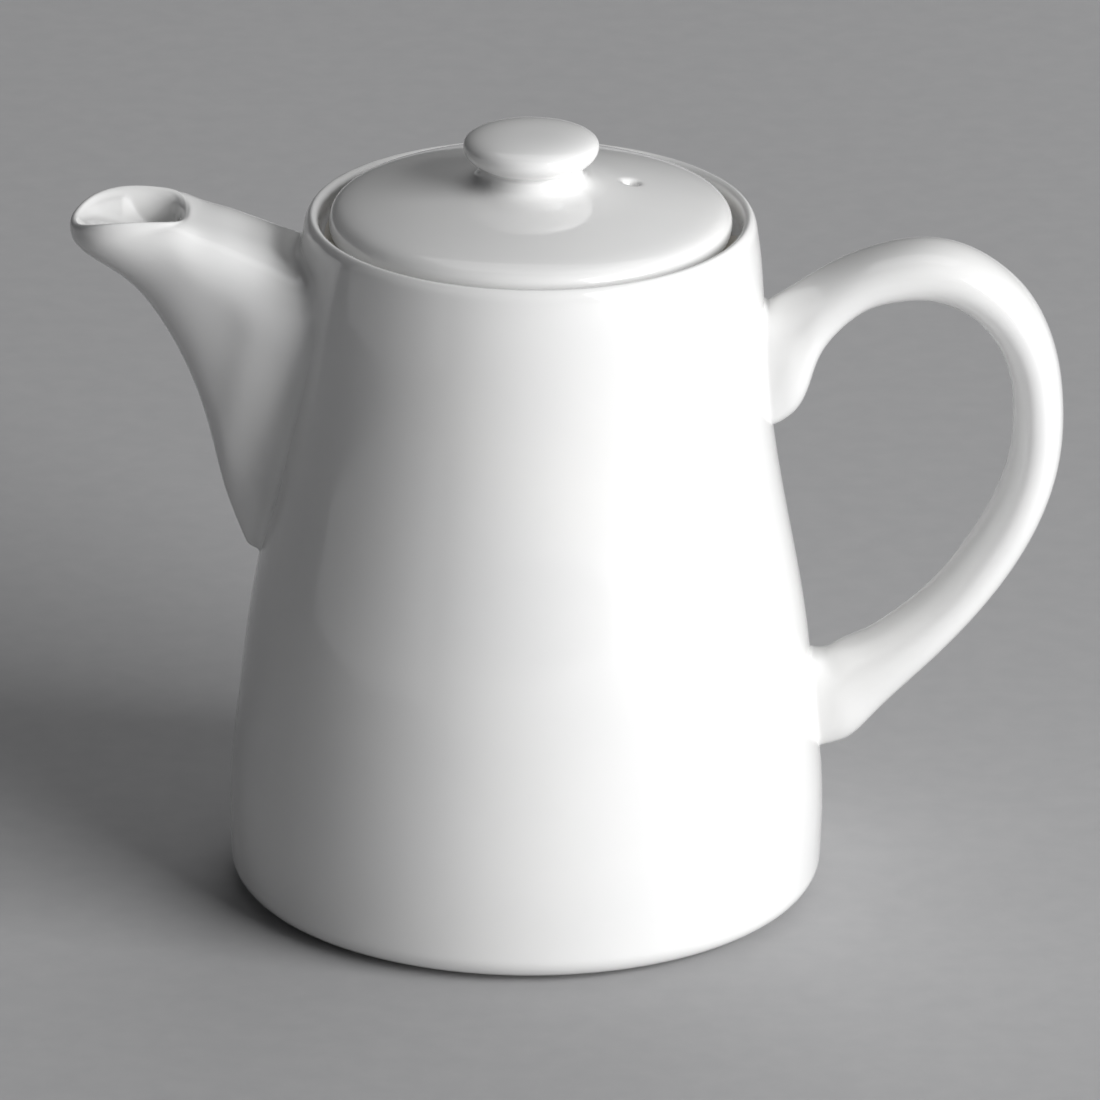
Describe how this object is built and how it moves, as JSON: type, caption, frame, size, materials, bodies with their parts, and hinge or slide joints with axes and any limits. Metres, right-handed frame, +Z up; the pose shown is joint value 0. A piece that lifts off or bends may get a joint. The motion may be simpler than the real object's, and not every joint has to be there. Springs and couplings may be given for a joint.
{
  "type": "coffee pot",
  "caption": "White glazed porcelain coffee pot: tapered round body, scooped spout, loop handle and a lift-off domed lid with a button knob.",
  "frame": {"origin": "on the table, under the middle of the whole outline; the pot's turning axis stands 7.3 mm from it towards the spout, at X = -0.0073", "axes": "+Z up along the pot's turning axis, +X towards the handle, -X towards the spout"},
  "size_m": [0.1904, 0.115, 0.1528],
  "materials": {
    "glaze": "glossy white glaze",
    "biscuit": "unglazed, matte"
  },
  "bodies": {
    "pot": {"pot_body": "glaze", "foot_ring": "biscuit", "spout": "glaze", "handle": "glaze"},
    "lid": {"lid": "glaze", "lid_lug": "glaze", "lid_knob": "glaze"}
  },
  "joints": [
    {"name": "lid_lift", "type": "slide", "parent": "pot", "child": "lid", "axis": [0, 0, 1], "range_m": [0, 0.06]}
  ]
}
